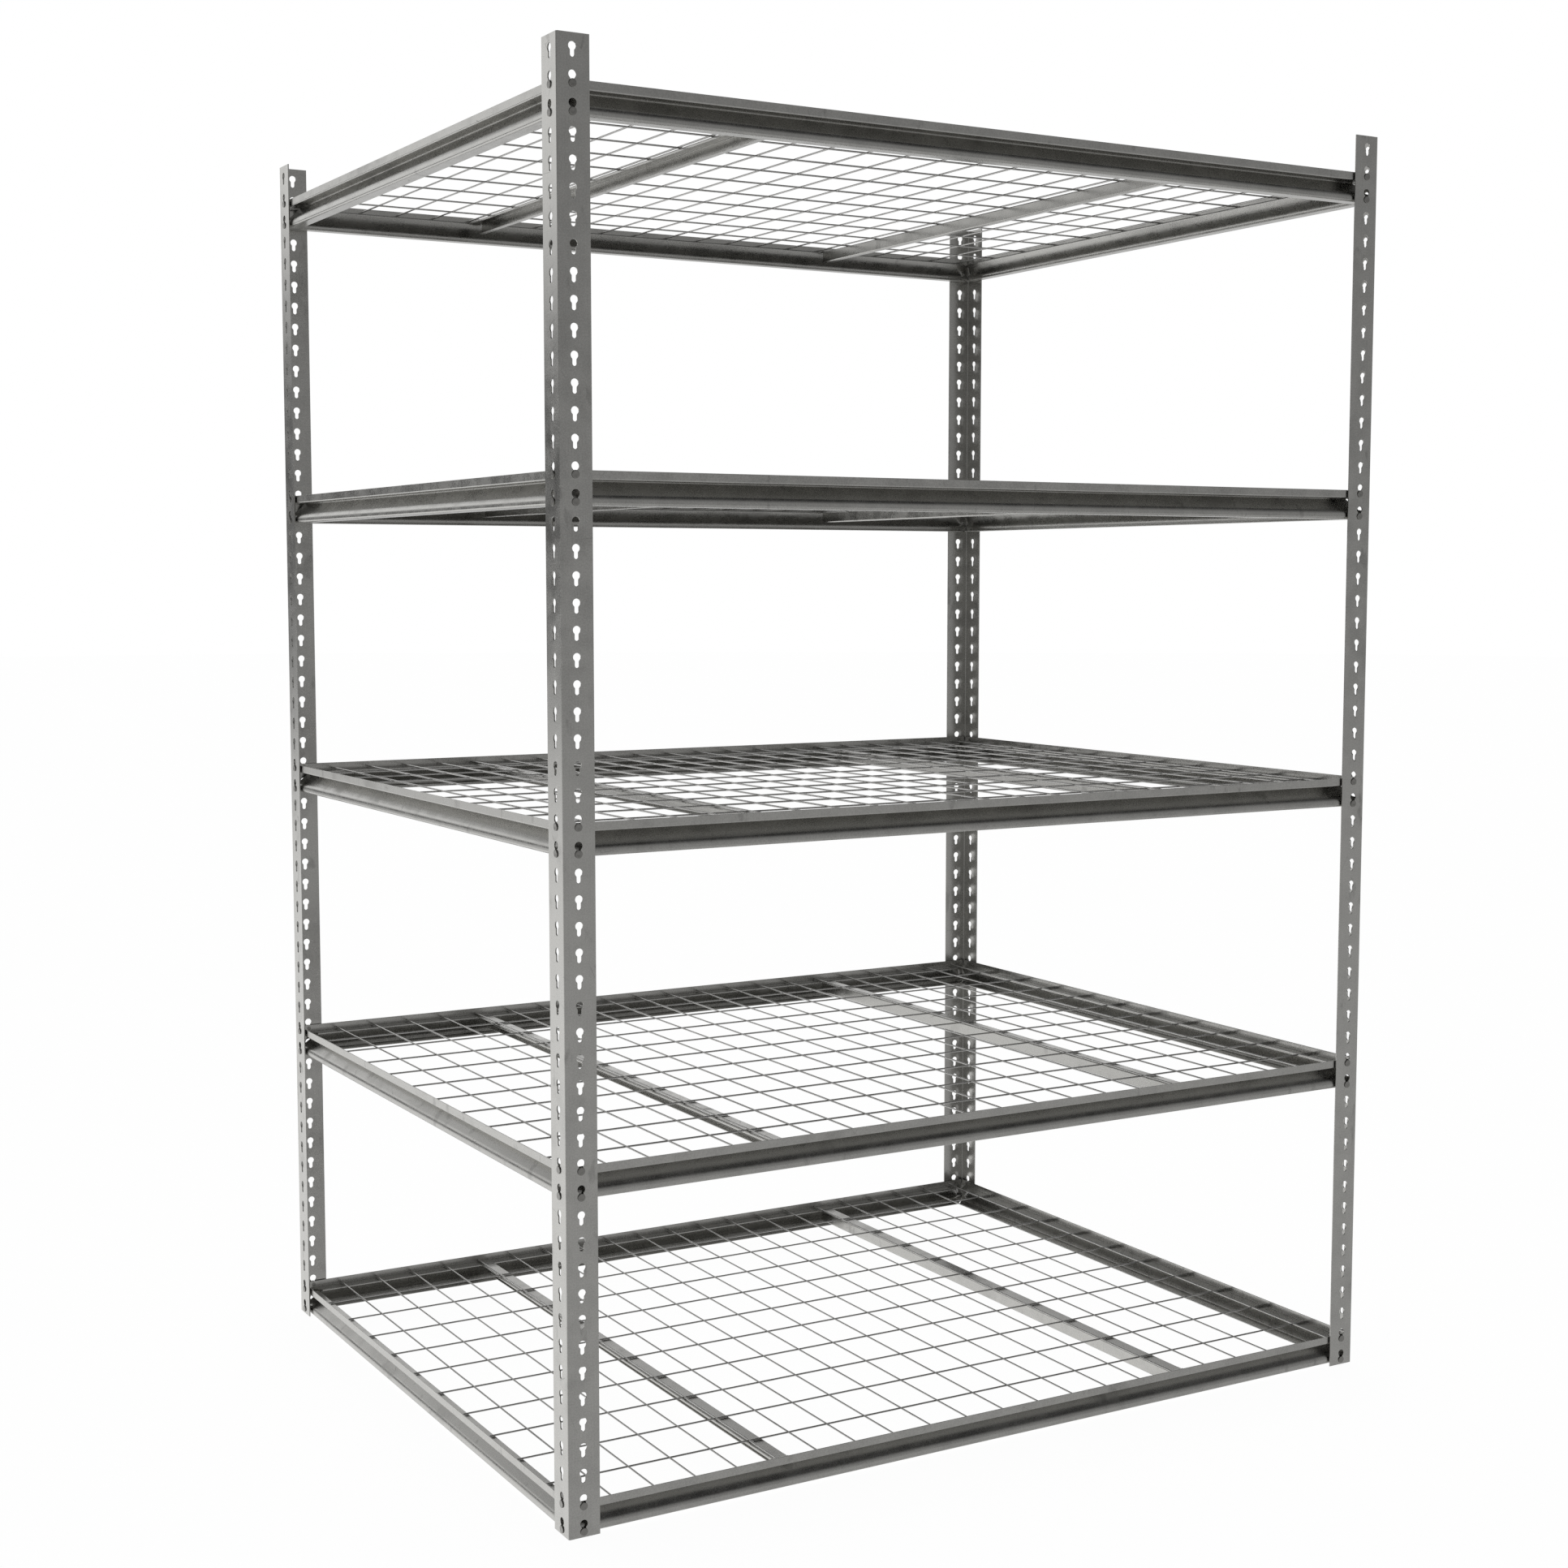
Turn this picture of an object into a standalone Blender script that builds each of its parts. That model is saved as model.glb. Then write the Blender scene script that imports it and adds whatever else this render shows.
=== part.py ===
"""Boltless steel shelving.

Four angle posts with keyholes carry five levels. A level is four roll-formed beams, whose
rivets drop into the keyholes, two channel supports between the front and the back beam, and
a welded wire deck that lies loose inside the beams' lips.

Metres, +Z up. The origin is on the floor in the middle of the four posts, the front is at -Y.
"""

import math

import bmesh
import bpy
from mathutils import Vector

MM = 0.001

# Overall size over the posts.
WIDTH = 1524.0 * MM
DEPTH = 1219.2 * MM
HEIGHT = 2133.6 * MM

# Posts: an equal angle with keyholes on the centreline of both flanges.
POST_FLANGE = 50.0 * MM
POST_SHEET = 2.0 * MM
KEYHOLE_PITCH = 38.1 * MM
KEYHOLE_FROM_CORNER = 24.0 * MM
TOP_HEAD_Z = HEIGHT - 18.0 * MM
KEYHOLE_HEAD_RADIUS = 6.0 * MM
KEYHOLE_SLOT_HALF_WIDTH = 3.3 * MM
KEYHOLE_DROP = 11.7 * MM

# Levels, from the lowest up: the keyhole row, counted from the top, that holds a level's
# upper rivets. The lower rivets sit one row further down.
LEVEL_ROWS = (54, 41, 28, 15, 1)

# Beams: sheet bent to a lip, a ledge, a web that slopes back out, a lower band and a flange.
# Heights count from the upper rivet, depths from the beam's outer face.
BEAM_SHEET = 1.5 * MM
BEAM_INSET = 4.0 * MM
LIP_TOP = 6.3 * MM
LEDGE_UNDERSIDE = -7.3 * MM
LEDGE_DEPTH = 22.0 * MM
WEB_FOOT = -30.8 * MM
BEAM_BOTTOM = -42.8 * MM
BOTTOM_FLANGE_DEPTH = 23.0 * MM
LEDGE_RELIEF = 3.0 * MM

# Set-backs of the beam's ends from the line where two beams would meet at the corner.
END_GAP = 2.0 * MM
LEDGE_NOTCH_AT_LIP = 22.0 * MM
LEDGE_NOTCH_INSIDE = 16.0 * MM

# Rivets: an eight-sided shank and a round flat head, one body with the beam.
RIVET_SIDES = 8
SHANK_RADIUS = 2.8 * MM
HEAD_RADIUS = 5.8 * MM
HEAD_THICKNESS = 1.4 * MM
RIVET_TAIL = 1.9 * MM

# Centre supports: a channel with a wide top flange that turns away from the middle.
SUPPORT_SHEET = 1.5 * MM
SUPPORT_X = 377.0 * MM
SUPPORT_TOP_FLANGE = 27.0 * MM
SUPPORT_BOTTOM_FLANGE = 12.0 * MM
SUPPORT_HEIGHT = 22.0 * MM
SUPPORT_EDGE_LIP = 5.0 * MM
TONGUE_SHEET = 1.2 * MM
TONGUE_SIDE_GAP = 4.0 * MM
TONGUE_OVERLAP = 14.0 * MM

# Wire decks: every third wire of the real mesh, as square bars of the mesh's whole mass.
DECK_BAR = 4.3 * MM
DECK_TO_LIP = 0.9 * MM
DECK_WIRE_PITCH_X = 70.45 * MM
DECK_WIRE_PITCH_Y = 110.0 * MM
DECK_FIRST_WIRE_X = -754.0 * MM
DECK_WIRES_ALONG_Y = 22
DECK_WIRES_ALONG_X = 10
WIRES_PER_BAR = 3

# Clearance between pieces that rest on each other.
GAP = 0.3 * MM

BEAM_PLANE_X = WIDTH / 2 - BEAM_INSET
BEAM_PLANE_Y = DEPTH / 2 - BEAM_INSET
LEDGE_TOP = LEDGE_UNDERSIDE + BEAM_SHEET


def clear_scene():
    """Take every object out of the scene."""
    for item in list(bpy.data.objects):
        bpy.data.objects.remove(item, do_unlink=True)


def paint(name, colour, roughness, metallic):
    """A plain Principled material."""
    material = bpy.data.materials.new(name)
    material.use_nodes = True
    shader = material.node_tree.nodes["Principled BSDF"]
    shader.inputs["Base Color"].default_value = (*colour, 1.0)
    shader.inputs["Roughness"].default_value = roughness
    shader.inputs["Metallic"].default_value = metallic
    return material


def finished_mesh(build, name):
    """Turn a bmesh into a mesh whose faces point out."""
    bmesh.ops.recalc_face_normals(build, faces=build.faces)
    mesh = bpy.data.meshes.new(name)
    build.to_mesh(mesh)
    build.free()
    return mesh


def left_of(path, distance):
    """The path moved to its left, with mitred corners."""
    directions = [(Vector(b) - Vector(a)).normalized() for a, b in zip(path, path[1:])]
    moved = []
    for i, corner in enumerate(path):
        before = directions[max(i - 1, 0)]
        after = directions[min(i, len(directions) - 1)]
        left_after = Vector((-after.y, after.x))
        mitre = (Vector((-before.y, before.x)) + left_after).normalized()
        moved.append(Vector(corner) + mitre * distance / mitre.dot(left_after))
    return moved


def sheet_mesh(name, path, sheet, ends, place):
    """Sweep bent sheet into a closed solid.

    path is the outer skin's line as (u, v) corners, and the sheet lies to its left. ends gives
    the sweep's first and last position at corner i, and place turns a position and a (u, v)
    point into a point in space.
    """
    build = bmesh.new()
    skins = ([Vector(corner) for corner in path], left_of(path, sheet))
    first = [[build.verts.new(place(ends(i, p)[0], p)) for i, p in enumerate(skin)] for skin in skins]
    last = [[build.verts.new(place(ends(i, p)[1], p)) for i, p in enumerate(skin)] for skin in skins]
    for i in range(len(path) - 1):
        for skin in (0, 1):
            build.faces.new((first[skin][i], first[skin][i + 1], last[skin][i + 1], last[skin][i]))
        for rim in (first, last):
            build.faces.new((rim[0][i], rim[0][i + 1], rim[1][i + 1], rim[1][i]))
    for i in (0, -1):
        build.faces.new((first[0][i], first[1][i], last[1][i], last[0][i]))
    return finished_mesh(build, name)


def add_prism(build, outline, near, far, place):
    """Add a closed prism of an (u, v) outline, from position near to position far."""
    rings = [[build.verts.new(place(w, Vector(p))) for p in outline] for w in (near, far)]
    for ring in rings:
        build.faces.new(ring)
    for i in range(len(outline)):
        j = (i + 1) % len(outline)
        build.faces.new((rings[0][i], rings[0][j], rings[1][j], rings[1][i]))


def combined(base, tool, operation):
    """The mesh of base with tool cut from it or united with it."""
    objects = [bpy.data.objects.new(mesh.name, mesh) for mesh in (base, tool)]
    for item in objects:
        bpy.context.scene.collection.objects.link(item)
    body, cutter = objects
    modifier = body.modifiers.new("combine", "BOOLEAN")
    modifier.operation = operation
    modifier.solver = "EXACT"
    modifier.object = cutter
    bpy.context.view_layer.update()
    evaluated = body.evaluated_get(bpy.context.evaluated_depsgraph_get())
    result = bpy.data.meshes.new_from_object(evaluated)
    for item in objects:
        bpy.data.objects.remove(item, do_unlink=True)
    return result


def keyhole_outline():
    """A keyhole as (across, height) points: a round head with a round-ended slot below it."""
    head_segments = 6
    low = -math.acos(KEYHOLE_SLOT_HALF_WIDTH / KEYHOLE_HEAD_RADIUS)
    sweep = math.pi - 2 * low
    outline = []
    for i in range(head_segments + 1):
        angle = low + sweep * i / head_segments
        outline.append((KEYHOLE_HEAD_RADIUS * math.cos(angle), KEYHOLE_HEAD_RADIUS * math.sin(angle)))
    slot_segments = 4
    half_step = math.pi / slot_segments / 2
    corner_radius = KEYHOLE_SLOT_HALF_WIDTH / math.cos(half_step)
    for i in range(slot_segments):
        angle = math.pi + half_step * (2 * i + 1)
        outline.append((corner_radius * math.cos(angle), corner_radius * math.sin(angle) - KEYHOLE_DROP))
    return outline


def keyhole_rows():
    """The rows that hold a rivet, counted from the top."""
    return [row + lower for row in LEVEL_ROWS for lower in (0, 1)]


def seat_height(row):
    """The height of a rivet's centre at rest in a keyhole row."""
    return TOP_HEAD_Z - row * KEYHOLE_PITCH - KEYHOLE_DROP


def post_mesh():
    """An angle post with its corner at the origin and its flanges along +X and +Y."""
    path = ((0.0, POST_FLANGE), (0.0, 0.0), (POST_FLANGE, 0.0))
    angle = sheet_mesh(
        "post_angle", path, POST_SHEET,
        ends=lambda i, p: (0.0, HEIGHT),
        place=lambda along, p: (p.x, p.y, along),
    )
    build = bmesh.new()
    near, far = -POST_SHEET, 2 * POST_SHEET
    for row in keyhole_rows():
        head_z = seat_height(row) + KEYHOLE_DROP
        for swap in (False, True):
            def place(w, p, swap=swap, head_z=head_z):
                across = KEYHOLE_FROM_CORNER + p.x
                return (w, across, head_z + p.y) if swap else (across, w, head_z + p.y)
            add_prism(build, keyhole_outline(), near, far, place)
    return combined(angle, finished_mesh(build, "keyholes"), "DIFFERENCE")


def rivets_mesh(half_spacing):
    """Four rivets, two at each end of a beam, with their axes along -Y."""
    build = bmesh.new()
    head_near = BEAM_INSET + GAP
    profile = (
        (-RIVET_TAIL, SHANK_RADIUS),
        (head_near, SHANK_RADIUS),
        (head_near, HEAD_RADIUS),
        (head_near + HEAD_THICKNESS, HEAD_RADIUS),
    )
    for x in (-half_spacing, half_spacing):
        for z in (0.0, -KEYHOLE_PITCH):
            rings = []
            for out, radius in profile:
                ring = []
                for i in range(RIVET_SIDES):
                    angle = 2 * math.pi * (i + 0.5) / RIVET_SIDES
                    across = radius * math.cos(angle)
                    up = radius * math.sin(angle)
                    ring.append(build.verts.new((x + across, -out, z + up)))
                rings.append(ring)
            build.faces.new(rings[0])
            build.faces.new(rings[-1])
            for ring, following in zip(rings, rings[1:]):
                for i in range(RIVET_SIDES):
                    j = (i + 1) % RIVET_SIDES
                    build.faces.new((ring[i], ring[j], following[j], following[i]))
    return finished_mesh(build, "rivets")


def beam_mesh(name, half_plane, half_rivet_spacing):
    """A beam along X whose outer face is the plane y = 0, with its ends mitred."""
    profile = (
        ((0.0, LIP_TOP), END_GAP),
        ((0.0, LEDGE_UNDERSIDE), END_GAP),
        ((LEDGE_RELIEF, LEDGE_UNDERSIDE), LEDGE_NOTCH_AT_LIP),
        ((LEDGE_DEPTH, LEDGE_UNDERSIDE), LEDGE_NOTCH_INSIDE),
        ((0.0, WEB_FOOT), END_GAP),
        ((0.0, BEAM_BOTTOM), END_GAP),
        ((BOTTOM_FLANGE_DEPTH, BEAM_BOTTOM), END_GAP),
    )
    path = [corner for corner, _ in profile]
    set_backs = [set_back for _, set_back in profile]

    def ends(i, p):
        reach = half_plane - p.x - set_backs[i]
        return -reach, reach

    sheet = sheet_mesh(name + "_sheet", path, BEAM_SHEET, ends, place=lambda along, p: (along, p.x, p.y))
    mesh = combined(sheet, rivets_mesh(half_rivet_spacing), "UNION")
    mesh.shade_smooth()
    mesh.set_sharp_from_angle(angle=math.radians(50.0))
    return mesh


def support_mesh():
    """A centre support along Y, its web at x = 0, its flanges towards +X, its top at z = 0."""
    ledge_tip = BEAM_PLANE_Y - LEDGE_DEPTH - BEAM_SHEET / math.tan(math.radians(45.0) / 2)
    half_length = ledge_tip - GAP
    path = (
        (SUPPORT_TOP_FLANGE, -SUPPORT_EDGE_LIP),
        (SUPPORT_TOP_FLANGE, 0.0),
        (0.0, 0.0),
        (0.0, -SUPPORT_HEIGHT),
        (SUPPORT_BOTTOM_FLANGE, -SUPPORT_HEIGHT),
    )
    channel = sheet_mesh(
        "support_channel", path, SUPPORT_SHEET,
        ends=lambda i, p: (-half_length, half_length),
        place=lambda along, p: (p.x, along, p.y),
    )
    for side in (-1, 1):
        channel = combined(channel, tongue_mesh(side, half_length), "UNION")
    return channel


def tongue_mesh(side, half_length):
    """The stepped tongue at a support's end, which lies on the beam's ledge."""
    on_ledge = GAP
    in_flange = -(SUPPORT_SHEET + TONGUE_SHEET) / 2
    tip = BEAM_PLANE_Y - BEAM_SHEET - 2 * GAP
    step = half_length - TONGUE_SHEET
    path = (
        (tip, on_ledge),
        (step, on_ledge),
        (step - TONGUE_SHEET, in_flange),
        (step - TONGUE_OVERLAP, in_flange),
    )
    if side < 0:
        path = tuple((-u, v) for u, v in path)
    else:
        path = tuple(reversed(path))
    near = TONGUE_SIDE_GAP
    far = SUPPORT_TOP_FLANGE - TONGUE_SIDE_GAP
    return sheet_mesh(
        "support_tongue", path, TONGUE_SHEET,
        ends=lambda i, p: (near, far),
        place=lambda along, p: (along, p.x, p.y),
    )


def deck_mesh():
    """The deck as one flat grid of square bars, its underside at z = 0."""
    half_bar = DECK_BAR / 2
    reach_x = BEAM_PLANE_X - BEAM_SHEET - DECK_TO_LIP
    reach_y = BEAM_PLANE_Y - BEAM_SHEET - DECK_TO_LIP
    first_y = -DECK_WIRE_PITCH_Y * (DECK_WIRES_ALONG_X - 1) / 2
    kept_x = range(0, DECK_WIRES_ALONG_Y, WIRES_PER_BAR)
    kept_y = range(0, DECK_WIRES_ALONG_X, WIRES_PER_BAR)
    bars_x = [DECK_FIRST_WIRE_X + i * DECK_WIRE_PITCH_X for i in kept_x]
    bars_y = [first_y + i * DECK_WIRE_PITCH_Y for i in kept_y]

    def lines(bars, reach):
        inside = [bar + side * half_bar for bar in bars for side in (-1, 1)]
        return [-reach] + [line for line in inside if abs(line) < reach] + [reach]

    def on_bar(low, high, bars):
        middle = (low + high) / 2
        return any(abs(middle - bar) < half_bar for bar in bars)

    build = bmesh.new()
    lines_x = lines(bars_x, reach_x)
    lines_y = lines(bars_y, reach_y)
    grid = [[build.verts.new((x, y, 0.0)) for y in lines_y] for x in lines_x]
    for i in range(len(lines_x) - 1):
        for j in range(len(lines_y) - 1):
            along_y = on_bar(lines_x[i], lines_x[i + 1], bars_x)
            along_x = on_bar(lines_y[j], lines_y[j + 1], bars_y)
            if along_x or along_y:
                build.faces.new((grid[i][j], grid[i + 1][j], grid[i + 1][j + 1], grid[i][j + 1]))
    loose = [vertex for vertex in build.verts if not vertex.link_faces]
    bmesh.ops.delete(build, geom=loose, context="VERTS")
    raised = bmesh.ops.extrude_face_region(build, geom=build.faces[:], use_keep_orig=True)["geom"]
    raised_verts = [item for item in raised if isinstance(item, bmesh.types.BMVert)]
    bmesh.ops.translate(build, verts=raised_verts, vec=(0.0, 0.0, DECK_BAR))
    return finished_mesh(build, "deck")


def add_piece(name, mesh, material, location, turn, parent=None):
    """Place a mesh as a named object, turned about Z by a number of degrees."""
    piece = bpy.data.objects.new(name, mesh)
    piece.location = location
    piece.rotation_euler = (0.0, 0.0, math.radians(turn))
    piece.parent = parent
    if not mesh.materials:
        mesh.materials.append(material)
    bpy.context.scene.collection.objects.link(piece)
    return piece


def add_posts(material):
    """The four posts, each turned so that its flanges point into the frame."""
    mesh = post_mesh()
    corners = (
        ("post_front_left", -1, -1, 0.0),
        ("post_front_right", 1, -1, 90.0),
        ("post_back_right", 1, 1, 180.0),
        ("post_back_left", -1, 1, 270.0),
    )
    for name, side_x, side_y, turn in corners:
        add_piece(name, mesh, material, (side_x * WIDTH / 2, side_y * DEPTH / 2, 0.0), turn)


def add_level(number, row, meshes, materials):
    """One level on an empty at its upper rivets' height: beams, supports and a deck."""
    level = bpy.data.objects.new(f"level_{number}", None)
    level.location = (0.0, 0.0, seat_height(row))
    bpy.context.scene.collection.objects.link(level)
    long_beam, short_beam, support, deck = meshes
    beam_paint, support_paint, deck_wire = materials
    beams = (
        ("front", long_beam, (0.0, -BEAM_PLANE_Y, 0.0), 0.0),
        ("right", short_beam, (BEAM_PLANE_X, 0.0, 0.0), 90.0),
        ("back", long_beam, (0.0, BEAM_PLANE_Y, 0.0), 180.0),
        ("left", short_beam, (-BEAM_PLANE_X, 0.0, 0.0), 270.0),
    )
    for side, mesh, location, turn in beams:
        add_piece(f"level_{number}_beam_{side}", mesh, beam_paint, location, turn, level)
    for side, x, turn in (("right", SUPPORT_X, 0.0), ("left", -SUPPORT_X, 180.0)):
        name = f"level_{number}_support_{side}"
        add_piece(name, support, support_paint, (x, 0.0, LEDGE_TOP), turn, level)
    add_piece(f"level_{number}_deck", deck, deck_wire, (0.0, 0.0, LEDGE_TOP + GAP), 0.0, level)


def main():
    clear_scene()
    post_paint = paint("post_paint", (0.50, 0.495, 0.475), 0.28, 1.0)
    beam_paint = paint("beam_paint", (0.50, 0.495, 0.475), 0.26, 1.0)
    support_paint = paint("support_paint", (0.48, 0.475, 0.455), 0.28, 1.0)
    deck_wire = paint("deck_wire", (0.40, 0.40, 0.39), 0.30, 1.0)
    add_posts(post_paint)
    meshes = (
        beam_mesh("long_beam", BEAM_PLANE_X, WIDTH / 2 - KEYHOLE_FROM_CORNER),
        beam_mesh("short_beam", BEAM_PLANE_Y, DEPTH / 2 - KEYHOLE_FROM_CORNER),
        support_mesh(),
        deck_mesh(),
    )
    for number, row in enumerate(LEVEL_ROWS, start=1):
        add_level(number, row, meshes, (beam_paint, support_paint, deck_wire))


main()
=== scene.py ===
"""The looks of the boltless steel shelving: fine sheet-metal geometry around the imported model.

Every CAD node is replaced by a piece with real bend radii, punched keyholes, clinched rivets or
round welded wires, in the same place and riding on the same body. Metres, +Z up, front at -Y.
"""

import math

import bmesh
import bpy
from mathutils import Matrix, Vector, geometry


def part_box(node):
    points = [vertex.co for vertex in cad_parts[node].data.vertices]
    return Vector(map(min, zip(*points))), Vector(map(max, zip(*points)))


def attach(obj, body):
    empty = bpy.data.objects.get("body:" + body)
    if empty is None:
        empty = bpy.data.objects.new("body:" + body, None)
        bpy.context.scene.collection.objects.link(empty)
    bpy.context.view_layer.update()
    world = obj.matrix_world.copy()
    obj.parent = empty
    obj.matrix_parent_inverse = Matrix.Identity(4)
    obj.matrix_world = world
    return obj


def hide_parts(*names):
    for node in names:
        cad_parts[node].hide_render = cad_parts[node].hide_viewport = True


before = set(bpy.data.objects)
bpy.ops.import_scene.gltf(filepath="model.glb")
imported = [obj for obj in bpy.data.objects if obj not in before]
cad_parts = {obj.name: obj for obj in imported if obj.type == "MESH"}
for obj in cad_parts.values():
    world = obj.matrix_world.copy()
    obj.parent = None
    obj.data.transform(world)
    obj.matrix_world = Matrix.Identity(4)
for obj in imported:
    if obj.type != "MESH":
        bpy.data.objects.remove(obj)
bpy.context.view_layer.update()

MM = 0.001
QUARTER_TURN = math.pi / 2

# The posts' outer planes come from the CAD. Each level's height comes from its deck's box.
POST_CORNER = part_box("post_back_right")[1]
HALF_WIDTH = POST_CORNER.x
HALF_DEPTH = POST_CORNER.y
HEIGHT = POST_CORNER.z
LEVELS = range(1, 6)
DECK_ABOVE_LEDGE = 0.3 * MM

# Every sheet's cut edges are rounded, in a few steps.
CUT_ROUNDING = 0.35 * MM
CUT_STEPS = 3
BEND_STEPS = 6
SHEETS_SMOOTH_BELOW = 35.0
WIRES_SMOOTH_BELOW = 60.0

# Posts.
POST_FLANGE = 50.0 * MM
POST_SHEET = 2.0 * MM
POST_BEND = 2.2 * MM
POST_BEND_STEPS = 8
KEYHOLE_PITCH = 38.1 * MM
KEYHOLE_ROWS = round(HEIGHT / KEYHOLE_PITCH)
KEYHOLE_FROM_CORNER = 24.0 * MM
KEYHOLE_HEAD_ABOVE_ROW = 20.1 * MM
KEYHOLE_HEAD_RADIUS = 6.0 * MM
KEYHOLE_SLOT_HALF_WIDTH = 3.3 * MM
KEYHOLE_SHOULDER_RADIUS = 2.0 * MM
KEYHOLE_DROP = 11.7 * MM
KEYHOLE_HEAD_STEPS = 18
KEYHOLE_SHOULDER_STEPS = 3
KEYHOLE_SLOT_STEPS = 9
PUNCH_ROUNDING = 0.3 * MM

# Beams: heights count from the upper rivet, depths from the beam's outer face.
BEAM_SHEET = 1.5 * MM
BEAM_INSET = 4.0 * MM
BEAM_BEND = 1.5 * MM
FOOT_BEND = 3.2 * MM
BAND_BEND = 13.0 * MM
BEAM_BEND_STEPS = 7
BAND_LEAN = 0.6 * MM
LIP_TOP = 6.3 * MM
LEDGE_TOP = -5.8 * MM
LEDGE_UNDERSIDE = LEDGE_TOP - BEAM_SHEET
LEDGE_DEPTH = 22.0 * MM
WEB_FOOT = -30.8 * MM
BEAM_BOTTOM = -42.8 * MM
BOTTOM_FLANGE_DEPTH = 23.0 * MM

# Beam ends: how far they stand back from the mitre. The lip stays whole to the inside of its skin.
END_GAP = 2.0 * MM
NOTCH_AT_LIP = 12.0 * MM
NOTCH_INSIDE = 8.0 * MM
LIP_SKIN = 1.4 * BEAM_SHEET
LIP_BEND_DEPTH = 2.4 * BEAM_SHEET

# Rivets: places along them count outwards from the beam's outer face.
RIVET_SIDES = 28
RIVET_EDGE = 0.2 * MM
SHANK_RADIUS = 2.9 * MM
COLLAR_RADIUS = 4.6 * MM
COLLAR_HEIGHT = 1.8 * MM
HEAD_RADIUS = 5.8 * MM
HEAD_THICKNESS = 1.4 * MM
HEAD_ROUNDING = 0.7 * MM
HEAD_ROUNDING_STEPS = 4
HEAD_BASE = BEAM_INSET + 0.2 * MM
DISH_RADIUS = 0.42 * HEAD_RADIUS
DISH_MIDDLE = 0.4 * DISH_RADIUS
DISH_RIM = 0.3 * MM
DISH_STEP = 0.12 * MM
TAIL_RADIUS = 3.4 * MM
TAIL_FLAT = 0.7 * TAIL_RADIUS
TAIL_FLAT_EDGE = 0.85 * TAIL_RADIUS
TAIL_HEIGHT = 0.4 * MM
TAIL_ROUNDING = 0.15 * MM

# Centre supports: places along their section count from the web's back and the top flange's top.
SUPPORT_SHEET = 1.5 * MM
SUPPORT_BEND = 1.6 * MM
SUPPORT_BOTTOM_FLANGE = 12.0 * MM
SUPPORT_HEIGHT = 22.0 * MM
SUPPORT_EDGE_LIP = 5.0 * MM
TONGUE_SHEET = 1.2 * MM
TONGUE_BEND = 1.2 * MM
TONGUE_BEND_STEPS = 4
TONGUE_LENGTH = 24.0 * MM
TONGUE_OVERLAP = 14.0 * MM
TONGUE_MARGIN = 1.0 * MM
TONGUE_STEP_FROM = 3.0 * MM
TONGUE_STEP_TO = 0.5 * MM
TONGUE_ABOVE_LEDGE = 0.3 * MM

# Wire decks.
WIRE_RADIUS = 1.45 * MM
WIRE_SIDES = 12
WIRE_END_ROUNDING = 0.3
WIRE_END_CUT = 0.3
WIRE_PITCH_X = 70.45 * MM
WIRE_PITCH_Y = 110.0 * MM
WIRES_ALONG_Y = 22
WIRES_ALONG_X = 10
FIRST_WIRE_FROM_LEFT = 1.6 * MM
DECK_SHIFT_Y = -3.0 * MM
WELD_SET_DOWN = 1.7 * MM
WELD_SPREAD = 1.45
WELD_HEIGHT = 0.8

# Paints: base colours, and the roughness they vary around.
SHEET_GREY = (0.50, 0.495, 0.475)
SUPPORT_GREY = (0.48, 0.475, 0.455)
RIVET_GREY = (0.31, 0.305, 0.29)
WIRE_GREY = (0.55, 0.545, 0.53)
POST_ROUGHNESS = 0.22
BEAM_ROUGHNESS = 0.27
SUPPORT_ROUGHNESS = 0.27
RIVET_ROUGHNESS = 0.34
WIRE_ROUGHNESS = 0.30
WIRE_GRAIN_DEPTH = 0.2

# Texture scales, in cells per metre.
STREAKS_ALONG_GRAIN = 6.0
STREAKS_ACROSS_GRAIN = 900.0
BLOTCH_SCALE = 26.0
FLECK_SCALE = 420.0
SMUDGE_SCALE = 9.0
STAIN_SCALE = (30.0, 30.0, 11.0)
SCRATCH_SCALE = 22.0
FINE_SCRATCH_SCALE = 48.0
SCRATCH_STRETCH = (1.0, 0.25, 0.6)
SCRATCH_TURN = 0.3
FINE_SCRATCH_TURN = 1.1

# Where each texture's ramp begins and ends, in values of its noise, and the hairlines' width.
BLOTCH_RANGE = (0.3, 0.7)
STREAK_RANGE = (0.3, 0.7)
FLECK_TONE_RANGE = (0.25, 0.75)
FLECK_ROUGHNESS_RANGE = (0.2, 0.8)
SMUDGE_RANGE = (0.56, 0.74)
STAIN_RANGE = (0.63, 0.70)
SCRATCH_BREAKS = (0.62, 0.70)
HAIRLINE_WIDTH = 0.008

# How much each texture changes the tone (a factor), the roughness and the height.
BLOTCH_TONE = (0.93, 1.05)
FLECK_TONE = 0.10
STREAK_TONE = 0.02
SMUDGE_TONE = 0.10
STAIN_TONE = 0.20
MARK_TONE = 0.22
BLOTCH_SMOOTHER = 0.04
BLOTCH_ROUGHER = 0.05
FLECK_ROUGHNESS = 0.05
SMUDGE_ROUGHNESS = 0.08
MARK_ROUGHNESS = 0.12
FLECK_HEIGHT = 0.6
STREAK_HEIGHT = 0.3
MARK_DEPTH = 0.8
FINE_SCRATCH_SHARE = 0.6
BUMP_STRENGTH = 0.35
BUMP_DISTANCE = 0.04 * MM

# Studio light by direction. Each belt has a strength at the front, back right and back left.
BELOW_HORIZON = (0.48, 0.72, 1.08)
AT_HORIZON = (0.33, 0.52, 0.14)
ABOVE_HORIZON = (0.07, 0.24, 0.20)
KEY_LIGHT = 1.10
DARK_CEILING = 0.04
ZENITH = 0.35

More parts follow.
